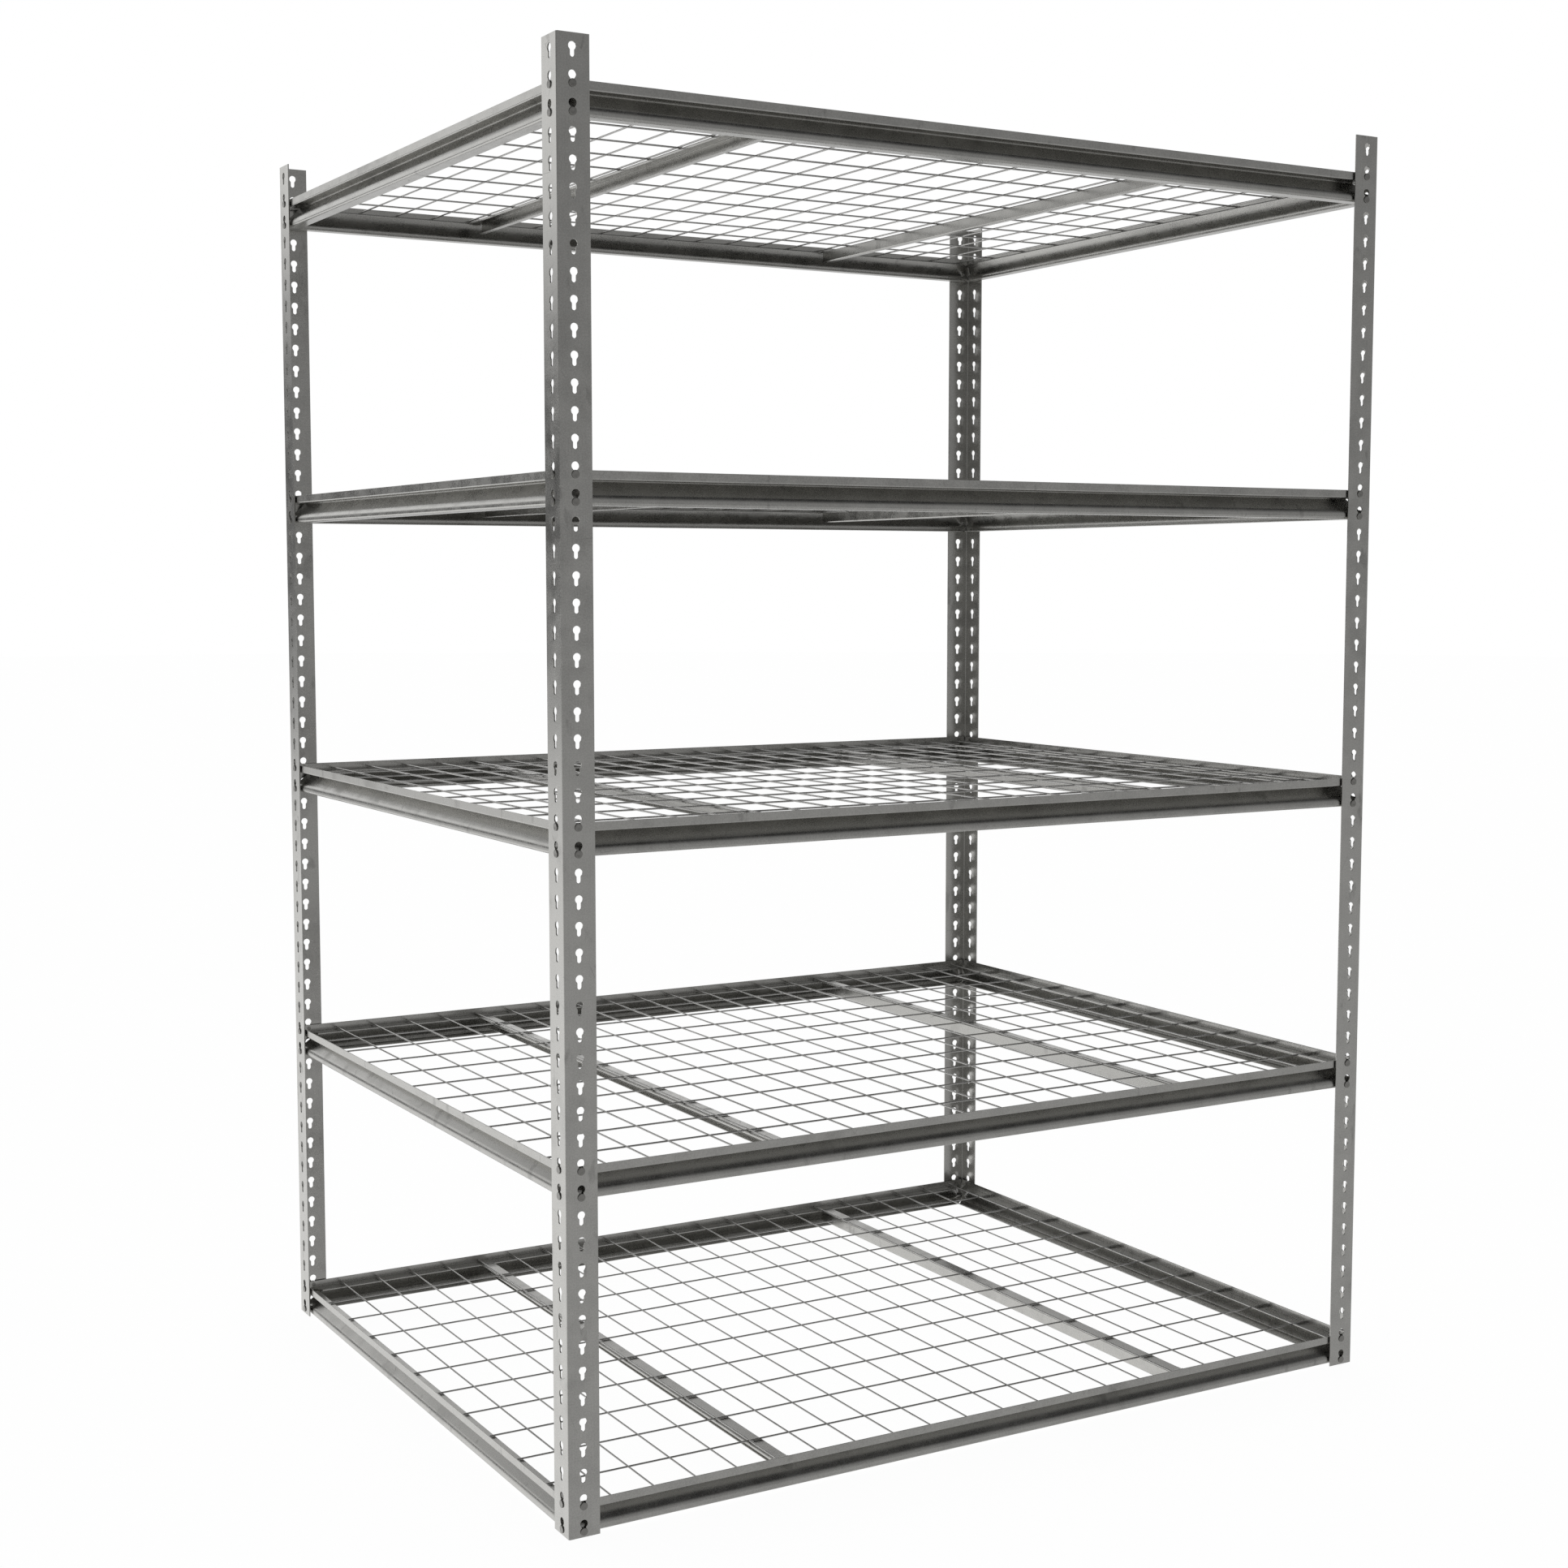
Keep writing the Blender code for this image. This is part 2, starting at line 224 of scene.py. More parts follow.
# Where each change of that light begins and ends, on the unit direction's x, y or z.
FRONT_TO_BACK_Y = (-0.4, 0.6)
RIGHT_TO_LEFT_X = (0.15, -0.35)
FLOOR_FADE_Z = (0.01, -0.13)
FRONT_DIMS_Z = (0.22, 0.75)
BACK_DIMS_Z = (0.07, 0.17)
CEILING_Z = (0.5, 0.8)
ZENITH_Z = (0.86, 0.96)
KEY_MIDDLE_X = 0.05
KEY_DROP_TO_SIDES = 0.3
KEY_RISES_Z = (0.07, 0.17)
KEY_ENDS_Z = (0.54, 0.36)
KEY_STARTS_Y = (0.0, 0.5)

# Floor and camera.
FLOOR_RADIUS = 40.0
FLOOR_SIDES = 96
FLOOR_ROUGHNESS = 0.9
FLOOR_GREY = 0.22
FLOOR_GLOW = 0.95
CAMERA_PLACE = (-2.09537, -3.54055, 1.38614)
CAMERA_FORWARD = (0.49815, 0.86252, -0.08893)
CAMERA_LENS = 52.57
CAMERA_SENSOR = 36.0
CAMERA_CLIP = 0.05


# ---------------------------------------------------------------- small mesh tools

def mesh_piece(name, build, smooth_below=SHEETS_SMOOTH_BELOW):
    """Make an object of a bmesh, shaded smooth across its bends and flat on its flats."""
    bmesh.ops.recalc_face_normals(build, faces=build.faces)
    mesh = bpy.data.meshes.new(name)
    build.to_mesh(mesh)
    build.free()
    mesh.shade_smooth()
    mesh.set_sharp_from_angle(angle=math.radians(smooth_below))
    piece = bpy.data.objects.new(name, mesh)
    bpy.context.scene.collection.objects.link(piece)
    weighted = piece.modifiers.new("weighted", "WEIGHTED_NORMAL")
    weighted.mode = "FACE_AREA"
    weighted.weight = 100
    weighted.keep_sharp = True
    evaluated = piece.evaluated_get(bpy.context.evaluated_depsgraph_get())
    piece.data = bpy.data.meshes.new_from_object(evaluated)
    piece.modifiers.clear()
    return piece


def arc(radius, start, stop, segments):
    """Points on a circle about the origin, from one angle to another, ends included."""
    step = (stop - start) / segments
    angles = [start + step * i for i in range(segments + 1)]
    return [Vector((math.cos(angle), math.sin(angle))) * radius for angle in angles]


def left_of(direction):
    """The unit direction to the left of a 2-D unit direction."""
    return Vector((-direction.y, direction.x))


def bent_line(corners, radii, segments):
    """A line through 2-D corners with round bends, as (point, unit normal to its left) pairs."""
    directions = [(b - a).normalized() for a, b in zip(corners, corners[1:])]
    left = [left_of(direction) for direction in directions]
    line = [(corners[0], left[0])]
    for i in range(1, len(corners) - 1):
        before, after = directions[i - 1], directions[i]
        radius = radii[i - 1]
        turn = before.angle_signed(after, 0.0)
        side = -1.0 if turn > 0 else 1.0
        tangent = radius * math.tan(abs(turn) / 2)
        centre = corners[i] - before * tangent + left[i - 1] * radius * side
        for step in range(segments + 1):
            normal = left[i - 1].copy()
            normal.rotate(Matrix.Rotation(-turn * step / segments, 2))
            line.append((centre - normal * radius * side, normal))
    line.append((corners[-1], left[-1]))
    return line


def rounded_cut(point, normal, inward, half_sheet):
    """The rungs of a sheet's rounded cut edge, from its tip inwards."""
    rungs = []
    for step in range(CUT_STEPS):
        angle = QUARTER_TURN * step / CUT_STEPS
        from_tip = CUT_ROUNDING - CUT_ROUNDING * math.sin(QUARTER_TURN - angle)
        from_skin = CUT_ROUNDING * (1 - math.sin(angle))
        rungs.append((point + inward * from_tip, normal, half_sheet - from_skin))
    rungs.append((point + inward * CUT_ROUNDING, normal, half_sheet))
    return rungs


def sheet_rungs(corners, radii, sheet, segments=BEND_STEPS):
    """A sheet's section as rungs (outer point, inner point), with rounded cut edges."""
    line = bent_line([Vector(corner) for corner in corners], radii, segments)
    half = sheet / 2
    start, start_normal = line[0]
    stop, stop_normal = line[-1]
    into_start = (line[1][0] - start).normalized()
    into_stop = (line[-2][0] - stop).normalized()
    rungs = rounded_cut(start, start_normal, into_start, half)
    rungs += [(point, normal, half) for point, normal in line[1:-1]]
    rungs += reversed(rounded_cut(stop, stop_normal, into_stop, half))
    return [(point - normal * reach, point + normal * reach) for point, normal, reach in rungs]


def centred(corners, sheet):
    """Move a line of outer-skin corners to the middle of the sheet, which lies to its left."""
    corners = [Vector(corner) for corner in corners]
    directions = [(b - a).normalized() for a, b in zip(corners, corners[1:])]
    moved = []
    for i, corner in enumerate(corners):
        left_before = left_of(directions[max(i - 1, 0)])
        left_after = left_of(directions[min(i, len(directions) - 1)])
        mitre = (left_before + left_after).normalized()
        moved.append(corner + mitre * sheet / 2 / mitre.dot(left_after))
    return moved


def sweep(build, rungs, stations, place):
    """Sweep rungs through stations; stations(rung number, point) lists the positions along."""
    grid = []
    for number, rung in enumerate(rungs):
        grid.append([[build.verts.new(place(along, point)) for along in stations(number, point)]
                     for point in rung])
    for low, high in zip(grid, grid[1:]):
        for side in (0, 1):
            for k in range(len(low[side]) - 1):
                build.faces.new((low[side][k], high[side][k], high[side][k + 1], low[side][k + 1]))
        for k in (0, -1):
            build.faces.new((low[0][k], high[0][k], high[1][k], low[1][k]))
    for rung in (grid[0], grid[-1]):
        for k in range(len(rung[0]) - 1):
            build.faces.new((rung[0][k], rung[0][k + 1], rung[1][k + 1], rung[1][k]))
    return grid


def join_rings(build, rings):
    """Join each closed ring of vertices to the next one."""
    for ring, following in zip(rings, rings[1:]):
        for i in range(len(ring)):
            j = (i + 1) % len(ring)
            build.faces.new((ring[i], ring[j], following[j], following[i]))


def add_turned(build, profile, sides, place):
    """Turn a profile of (along, radius) points about an axis and close both ends."""
    angles = [2 * math.pi * i / sides for i in range(sides)]
    rings = []
    for along, radius in profile:
        rings.append([build.verts.new(place(along, radius * math.cos(a), radius * math.sin(a)))
                      for a in angles])
    build.faces.new(rings[0])
    build.faces.new(rings[-1])
    join_rings(build, rings)


# ---------------------------------------------------------------- posts

def keyhole_loop(grown):
    """A keyhole's outline around its head's centre, grown outwards by a distance."""
    head = KEYHOLE_HEAD_RADIUS + grown
    slot = KEYHOLE_SLOT_HALF_WIDTH + grown
    shoulder = KEYHOLE_SHOULDER_RADIUS - grown
    across = slot + shoulder
    right_centre = Vector((across, -math.sqrt((head + shoulder) ** 2 - across ** 2)))
    left_centre = Vector((-right_centre.x, right_centre.y))
    slot_centre = Vector((0.0, -KEYHOLE_DROP))
    toward = math.atan2(right_centre.y, right_centre.x)
    loop = arc(head, toward, math.pi - toward, KEYHOLE_HEAD_STEPS)
    left_shoulder = arc(shoulder, -toward, 0.0, KEYHOLE_SHOULDER_STEPS)
    loop += [left_centre + p for p in left_shoulder[1:]]
    loop += [slot_centre + p for p in arc(slot, math.pi, 2 * math.pi, KEYHOLE_SLOT_STEPS)]
    right_shoulder = arc(shoulder, math.pi, math.pi + toward, KEYHOLE_SHOULDER_STEPS)
    loop += [right_centre + p for p in right_shoulder[:-1]]
    return loop


def punch_layers():
    """How far the punched edge is grown, and how deep it lies, from one skin to the other."""
    corner = [(PUNCH_ROUNDING * (1 - math.sin(a)), PUNCH_ROUNDING * (1 - math.cos(a)))
              for a in (0.0, QUARTER_TURN / 2, QUARTER_TURN)]
    return corner + [(grown, POST_SHEET - depth) for grown, depth in reversed(corner)]


class FlangePlace:
    """Turns (across the flange, depth from the outer face, height) into a point of the post."""

    def __init__(self, swap):
        self.swap = swap

    def across(self, corner):
        return corner.y if self.swap else corner.x

    def __call__(self, across, depth, height):
        return (depth, across, height) if self.swap else (across, depth, height)


def fill_cells(build, grid, first, last, place):
    """Fill the flat between two rungs with one punched cell for each row."""
    layers = punch_layers()
    loops = [keyhole_loop(grown) for grown, _ in layers]
    first_edge = place.across(grid[first][0][0].co) - KEYHOLE_FROM_CORNER
    last_edge = place.across(grid[last][0][0].co) - KEYHOLE_FROM_CORNER
    near, far = (first, last) if first_edge <= last_edge else (last, first)
    left, right = sorted((first_edge, last_edge))
    low = -KEYHOLE_HEAD_ABOVE_ROW
    high = KEYHOLE_PITCH - KEYHOLE_HEAD_ABOVE_ROW
    outline = [Vector((left, low, 0.0)), Vector((right, low, 0.0)),
               Vector((right, high, 0.0)), Vector((left, high, 0.0))]
    triangles = geometry.tessellate_polygon([outline, [p.to_3d() for p in loops[0]]])
    for row in range(KEYHOLE_ROWS):
        head_z = row * KEYHOLE_PITCH + KEYHOLE_HEAD_ABOVE_ROW
        rings = []
        for (_, depth), loop in zip(layers, loops):
            rings.append([build.verts.new(place(KEYHOLE_FROM_CORNER + p.x, depth, head_z + p.y))
                          for p in loop])
        join_rings(build, rings)
        for side, ring in ((0, rings[0]), (1, rings[-1])):
            corners = [grid[near][side][row], grid[far][side][row],
                       grid[far][side][row + 1], grid[near][side][row + 1]]
            points = corners + ring
            for triangle in triangles:
                build.faces.new([points[i] for i in triangle])


def open_flats(build, grid, flats):
    """Take away the plain faces of the flats, to make room for the punched cells."""
    plain = []
    for first, last in flats:
        for side in (0, 1):
            for row in range(KEYHOLE_ROWS):
                lower = (grid[first][side][row], grid[last][side][row])
                upper = {grid[first][side][row + 1], grid[last][side][row + 1]}
                shared = set(lower[0].link_faces) & set(lower[1].link_faces)
                plain += [face for face in shared if upper <= set(face.verts)]
    bmesh.ops.delete(build, geom=plain, context="FACES_ONLY")


def add_post(name, side_x, side_y, turns):
    """An angle post with a keyhole in every row of both flanges."""
    build = bmesh.new()
    corners = centred(((0.0, POST_FLANGE), (0.0, 0.0), (POST_FLANGE, 0.0)), POST_SHEET)
    rungs = sheet_rungs(corners, [POST_BEND], POST_SHEET, segments=POST_BEND_STEPS)
    rows = [row * KEYHOLE_PITCH for row in range(KEYHOLE_ROWS + 1)]
    last_flat = len(rungs) - CUT_STEPS - 2
    flats = ((CUT_STEPS, CUT_STEPS + 1), (last_flat, last_flat + 1))
    grid = sweep(build, rungs, lambda number, p: rows, lambda along, p: (p.x, p.y, along))
    open_flats(build, grid, flats)
    for swap, (first, last) in zip((True, False), flats):
        fill_cells(build, grid, first, last, FlangePlace(swap))
    to_corner = Matrix.Translation((side_x * HALF_WIDTH, side_y * HALF_DEPTH, 0.0))
    build.transform(to_corner @ Matrix.Rotation(QUARTER_TURN * turns, 4, "Z"))
    return mesh_piece(name, build)


# ---------------------------------------------------------------- beams and rivets

class BeamPlace:
    """Turns (along, depth from the outer face, height above the upper rivet) into a point."""

    def __init__(self, turns, plane, rivet_z):
        self.turn = Matrix.Rotation(QUARTER_TURN * turns, 4, "Z")
        self.plane = plane
        self.rivet_z = rivet_z

    def __call__(self, along, depth, height):
        return self.turn @ Vector((along, depth - self.plane, self.rivet_z + height))


def beam_rungs():
    """The beam's section: lip, ledge, sloping web, lower band and bottom flange."""
    skin = ((0.0, LIP_TOP), (0.0, LEDGE_UNDERSIDE), (LEDGE_DEPTH, LEDGE_UNDERSIDE),
            (BAND_LEAN, WEB_FOOT), (0.0, BEAM_BOTTOM), (BOTTOM_FLANGE_DEPTH, BEAM_BOTTOM))
    radii = (BEAM_BEND, BEAM_BEND, BAND_BEND, FOOT_BEND)
    return sheet_rungs(centred(skin, BEAM_SHEET), radii, BEAM_SHEET, segments=BEAM_BEND_STEPS)


def notched(point):
    """How far a point of the section stands back from the mitre: the ledge and web are notched."""
    depth, height = point
    if height > LEDGE_TOP + BEAM_SHEET or height < WEB_FOOT + 2 * BEAM_SHEET:
        return END_GAP
    if height > LEDGE_TOP - 2 * BEAM_SHEET and depth < LIP_BEND_DEPTH:
        return END_GAP if depth < LIP_SKIN else NOTCH_AT_LIP
    share = min(max(depth / LEDGE_DEPTH, 0.0), 1.0)
    return NOTCH_AT_LIP + (NOTCH_INSIDE - NOTCH_AT_LIP) * share


def add_beam(name, place, half_plane):
    """A roll-formed beam with mitred, notched ends."""
    build = bmesh.new()
    rungs = beam_rungs()
    set_backs = [notched((a + b) / 2) for a, b in rungs]

    def stations(number, point):
        reach = half_plane - point.x - set_backs[number]
        return -reach, reach

    sweep(build, rungs, stations, lambda along, p: place(along, p.x, p.y))
    return mesh_piece(name, build)


def rivet_profile():
    """A rivet from its clinched tail inside the beam to its dished head outside the post."""
    tail_end = -BEAM_SHEET - TAIL_HEIGHT
    in_sheet = -BEAM_SHEET / 2
    head_top = HEAD_BASE + HEAD_THICKNESS
    profile = [(tail_end, TAIL_FLAT), (tail_end, TAIL_FLAT_EDGE),
               (tail_end + TAIL_ROUNDING, TAIL_RADIUS), (in_sheet, TAIL_RADIUS)]
    profile += [(in_sheet, COLLAR_RADIUS), (COLLAR_HEIGHT - RIVET_EDGE, COLLAR_RADIUS),
                (COLLAR_HEIGHT, COLLAR_RADIUS - RIVET_EDGE), (COLLAR_HEIGHT, SHANK_RADIUS)]
    profile += [(HEAD_BASE, SHANK_RADIUS), (HEAD_BASE, HEAD_RADIUS - RIVET_EDGE),
                (HEAD_BASE + RIVET_EDGE, HEAD_RADIUS)]
    shoulder = Vector((head_top - HEAD_ROUNDING, HEAD_RADIUS - HEAD_ROUNDING))
    rounding = arc(HEAD_ROUNDING, QUARTER_TURN, 0.0, HEAD_ROUNDING_STEPS)
    profile += [tuple(shoulder + point) for point in rounding]
    profile += [(head_top, DISH_RADIUS + DISH_RIM),
                (head_top - DISH_STEP, DISH_RADIUS - RIVET_EDGE),
                (head_top - RIVET_EDGE, DISH_MIDDLE)]
    return profile


def add_rivets(name, place, half_spacing):
    """The four rivets of one beam."""
    build = bmesh.new()
    profile = rivet_profile()
    for along in (-half_spacing, half_spacing):
        for height in (0.0, -KEYHOLE_PITCH):
            add_turned(build, profile, RIVET_SIDES,
                       lambda out, u, v, a=along, h=height: place(a + u, -out, h + v))
    return mesh_piece(name, build)


# ---------------------------------------------------------------- centre supports

class SupportPlace:
    """Turns (across the top flange, along Y, height above the ledge) into a point."""

    def __init__(self, box, outward):
        low, high = box
        self.web_x = low.x if outward > 0 else high.x
        self.outward = outward
        self.flange = high.x - low.x
        self.ledge_top = low.z + SUPPORT_HEIGHT

    def __call__(self, across, along, height):
        return (self.web_x + self.outward * across, along, self.ledge_top + height)


def add_support(name, box, outward):
    """A channel along Y whose flanges turn outward, with stepped tongues on the ledges."""
    place = SupportPlace(box, outward)
    tip = box[1].y
    half_length = tip - TONGUE_LENGTH
    build = bmesh.new()
    skin = ((place.flange, -SUPPORT_EDGE_LIP), (place.flange, 0.0), (0.0, 0.0),
            (0.0, -SUPPORT_HEIGHT), (SUPPORT_BOTTOM_FLANGE, -SUPPORT_HEIGHT))
    rungs = sheet_rungs(centred(skin, SUPPORT_SHEET), [SUPPORT_BEND] * 3, SUPPORT_SHEET)
    sweep(build, rungs, lambda number, p: (-half_length, half_length),
          lambda along, p: place(p.x, along, p.y))
    for end in (-1, 1):
        add_tongue(build, end, half_length, tip, place)
    return mesh_piece(name, build)


def add_tongue(build, end, half_length, tip, place):
    """A stepped strip from inside the top flange's end up onto the beam's ledge."""
    on_ledge = TONGUE_ABOVE_LEDGE + TONGUE_SHEET / 2
    in_flange = -SUPPORT_SHEET / 2
    corners = ((half_length - TONGUE_OVERLAP, in_flange),
               (half_length - TONGUE_STEP_FROM, in_flange),
               (half_length - TONGUE_STEP_TO, on_ledge), (tip, on_ledge))
    rungs = sheet_rungs(corners, [TONGUE_BEND] * 2, TONGUE_SHEET, segments=TONGUE_BEND_STEPS)
    sweep(build, rungs, lambda number, p: (TONGUE_MARGIN, place.flange - TONGUE_MARGIN),
          lambda across, p: place(across, end * p.x, p.y))


# ---------------------------------------------------------------- wire decks

def add_wire(build, start, stop):
    """A straight round wire with rounded ends."""
    start, stop = Vector(start), Vector(stop)
    axis = (stop - start).normalized()
    side = axis.orthogonal().normalized()
    up = axis.cross(side)
    length = (stop - start).length
    rounding = WIRE_END_ROUNDING * WIRE_RADIUS
    cut = WIRE_END_CUT * rounding
    end = [(0.0, WIRE_RADIUS - rounding), (cut, WIRE_RADIUS - cut), (rounding, WIRE_RADIUS)]
    profile = end + [(length - along, radius) for along, radius in reversed(end)]
    add_turned(build, profile, WIRE_SIDES,
               lambda along, u, v: start + axis * along + side * u + up * v)


def add_weld(build, centre):
    """The flattened collar of metal where two wires are welded across each other."""
    across = WIRE_RADIUS * WELD_SPREAD
    scale = Matrix.Diagonal((across, across, WIRE_RADIUS * WELD_HEIGHT, 1.0))
    bmesh.ops.create_icosphere(build, subdivisions=1, radius=1.0,
                               matrix=Matrix.Translation(centre) @ scale)


def add_deck(name, box):
    """A welded mesh: wires from side to side lie on the ledges, wires front to back on them."""
    low, high = box
    build = bmesh.new()
    lower_z = low.z + WIRE_RADIUS
    upper_z = lower_z + 2 * WIRE_RADIUS - WELD_SET_DOWN
    middle_y = (low.y + high.y) / 2 + DECK_SHIFT_Y
    first_x = low.x + FIRST_WIRE_FROM_LEFT
    xs = [first_x + i * WIRE_PITCH_X for i in range(WIRES_ALONG_Y)]
    ys = [middle_y + (i - (WIRES_ALONG_X - 1) / 2) * WIRE_PITCH_Y for i in range(WIRES_ALONG_X)]
    for y in ys:
        add_wire(build, (low.x, y, lower_z), (high.x, y, lower_z))
    for x in xs:
        add_wire(build, (x, low.y, upper_z), (x, high.y, upper_z))
        for y in ys:
            add_weld(build, (x, y, (lower_z + upper_z) / 2))
    return mesh_piece(name, build, WIRES_SMOOTH_BELOW)


# ---------------------------------------------------------------- materials

class Nodes:
    """Short ways to add and join shader nodes."""

    def __init__(self, tree):
        self.tree = tree

    def add(self, kind, **settings):
        node = self.tree.nodes.new(kind)
        for name, value in settings.items():
            setattr(node, name, value)
        return node

    def join(self, source, target):
        self.tree.links.new(source, target)

    def feed(self, socket, value):
        if isinstance(value, bpy.types.NodeSocket):
            self.join(value, socket)
        else:
            socket.default_value = value

    def math(self, operation, a, b=0.0, clamp=False):
        node = self.add("ShaderNodeMath", operation=operation, use_clamp=clamp)
        self.feed(node.inputs[0], a)
        self.feed(node.inputs[1], b)
        return node.outputs[0]

    def plus(self, a, b):
        return self.math("ADD", a, b)

    def minus(self, a, b):
        return self.math("SUBTRACT", a, b)

    def times(self, a, b):
        return self.math("MULTIPLY", a, b)

    def ramp(self, value, low, high, to_low=0.0, to_high=1.0):
        node = self.add("ShaderNodeMapRange", interpolation_type="SMOOTHSTEP")
        for socket, item in zip(node.inputs, (value, low, high, to_low, to_high)):
            self.feed(socket, item)
        return node.outputs[0]

    def mix(self, factor, a, b):
        node = self.add("ShaderNodeMix", data_type="FLOAT")
        for socket, item in zip((node.inputs[0], node.inputs[2], node.inputs[3]), (factor, a, b)):
            self.feed(socket, item)
        return node.outputs[0]

    def mapped(self, coordinates, scale, rotation=(0.0, 0.0, 0.0)):
        node = self.add("ShaderNodeMapping")
        node.inputs["Rotation"].default_value = rotation
        node.inputs["Scale"].default_value = scale
        self.join(coordinates, node.inputs["Vector"])
        return node.outputs[0]

    def noise(self, vector, scale, detail=2.0, roughness=0.5):
        node = self.add("ShaderNodeTexNoise")
        self.join(vector, node.inputs["Vector"])
        node.inputs["Scale"].default_value = scale
        node.inputs["Detail"].default_value = detail
        node.inputs["Roughness"].default_value = roughness
        return node.outputs["Fac"]


def scratch_mask(nodes, coordinates, size, turn):
    """Sparse hairlines: the seams of stretched, slanted cells, broken up by a noise."""
    slanted = nodes.mapped(coordinates, [size * stretch for stretch in SCRATCH_STRETCH],
                           (0.7 + turn, 0.5 * turn, 0.9 - turn))
    cells = nodes.add("ShaderNodeTexVoronoi", feature="DISTANCE_TO_EDGE")
    cells.inputs["Scale"].default_value = 1.0
    nodes.join(slanted, cells.inputs["Vector"])
    hairline = nodes.ramp(cells.outputs["Distance"], 0.0, HAIRLINE_WIDTH, 1.0, 0.0)
    broken = nodes.ramp(nodes.noise(coordinates, 1.3 * size, detail=1.0), *SCRATCH_BREAKS)
    return nodes.times(hairline, broken)


class PaintTextures:
    """What a paint's tone, roughness and height are made of. The grain is the rolling axis."""

    def __init__(self, nodes, grain):
        coordinates = nodes.add("ShaderNodeTexCoord").outputs["Object"]
        scale = [STREAKS_ACROSS_GRAIN] * 3
        scale["XYZ".index(grain)] = STREAKS_ALONG_GRAIN
        rolled = nodes.mapped(coordinates, scale)
        self.streaks = nodes.noise(rolled, 1.0, detail=3.0, roughness=0.6)
        self.blotches = nodes.noise(coordinates, BLOTCH_SCALE, detail=3.0, roughness=0.55)
        self.flecks = nodes.noise(coordinates, FLECK_SCALE, detail=2.0, roughness=0.6)
        smudge_noise = nodes.noise(coordinates, SMUDGE_SCALE, detail=4.0, roughness=0.6)
        self.smudges = nodes.ramp(smudge_noise, *SMUDGE_RANGE)
        upright = nodes.mapped(coordinates, STAIN_SCALE)
        stain_noise = nodes.noise(upright, 1.0, detail=3.0, roughness=0.6)
        self.stains = nodes.ramp(stain_noise, *STAIN_RANGE)
        scratches = scratch_mask(nodes, coordinates, SCRATCH_SCALE, SCRATCH_TURN)
        fine_scratches = scratch_mask(nodes, coordinates, FINE_SCRATCH_SCALE, FINE_SCRATCH_TURN)
        faint = nodes.times(fine_scratches, FINE_SCRATCH_SHARE)
        self.marks = nodes.math("MAXIMUM", scratches, faint)


def paint_tone(nodes, textures):
    """A factor on the paint's colour: mottled, flecked and streaked, darker where it is marked."""
    tone = nodes.plus(nodes.ramp(textures.blotches, *BLOTCH_RANGE, *BLOTCH_TONE),
                      nodes.ramp(textures.flecks, *FLECK_TONE_RANGE, -FLECK_TONE, FLECK_TONE))
    streaked = nodes.ramp(textures.streaks, *STREAK_RANGE, -STREAK_TONE, STREAK_TONE)
    tone = nodes.plus(tone, streaked)
    tone = nodes.minus(tone, nodes.times(textures.smudges, SMUDGE_TONE))
    tone = nodes.minus(tone, nodes.times(textures.stains, STAIN_TONE))
    return nodes.minus(tone, nodes.times(textures.marks, MARK_TONE))


def paint_roughness(nodes, textures, roughness):
    """The roughness, higher in smudges and scratches."""
    blotched = nodes.ramp(textures.blotches, *BLOTCH_RANGE, roughness - BLOTCH_SMOOTHER,
                          roughness + BLOTCH_ROUGHER)
    flecked = nodes.ramp(textures.flecks, *FLECK_ROUGHNESS_RANGE, -FLECK_ROUGHNESS,
                         FLECK_ROUGHNESS)
    rough = nodes.plus(blotched, flecked)
    rough = nodes.plus(rough, nodes.times(textures.smudges, SMUDGE_ROUGHNESS))
    return nodes.math("ADD", rough, nodes.times(textures.marks, MARK_ROUGHNESS), clamp=True)


def paint_bump(nodes, textures, grain_depth):
    """A bump from flecks and rolling streaks, with the scratches cut in."""
    height = nodes.plus(nodes.times(textures.flecks, FLECK_HEIGHT),
                        nodes.times(textures.streaks, STREAK_HEIGHT * grain_depth))
    height = nodes.minus(height, nodes.times(textures.marks, MARK_DEPTH))
    bump = nodes.add("ShaderNodeBump")
    bump.inputs["Strength"].default_value = BUMP_STRENGTH
    bump.inputs["Distance"].default_value = BUMP_DISTANCE
    nodes.join(height, bump.inputs["Height"])
    return bump.outputs["Normal"]


def metal_paint(name, colour, roughness, grain, grain_depth=1.0):
    """Grey metallic paint on rolled sheet: mottled, faintly streaked along its grain, scuffed."""
    material = bpy.data.materials.new(name)
    material.use_nodes = True
    nodes = Nodes(material.node_tree)
    shader = material.node_tree.nodes["Principled BSDF"]
    shader.inputs["Metallic"].default_value = 1.0
    textures = PaintTextures(nodes, grain)
    tinted = nodes.add("ShaderNodeVectorMath", operation="SCALE")
    tinted.inputs[0].default_value = colour
    nodes.join(paint_tone(nodes, textures), tinted.inputs["Scale"])
    nodes.join(tinted.outputs[0], shader.inputs["Base Color"])
    nodes.join(paint_roughness(nodes, textures, roughness), shader.inputs["Roughness"])
    nodes.join(paint_bump(nodes, textures, grain_depth), shader.inputs["Normal"])
    return material


def floor_material():
    """A plain, nearly white floor: mostly its own glow, so that shadows stay faint."""
    material = bpy.data.materials.new("floor_white")
    material.use_nodes = True
    shader = material.node_tree.nodes["Principled BSDF"]
    shader.inputs["Base Color"].default_value = (FLOOR_GREY, FLOOR_GREY, FLOOR_GREY, 1.0)
    shader.inputs["Roughness"].default_value = FLOOR_ROUGHNESS
    shader.inputs["Specular IOR Level"].default_value = 0.0
    shader.inputs["Emission Color"].default_value = (1.0, 1.0, 1.0, 1.0)
    shader.inputs["Emission Strength"].default_value = FLOOR_GLOW
    return material


# ---------------------------------------------------------------- stage

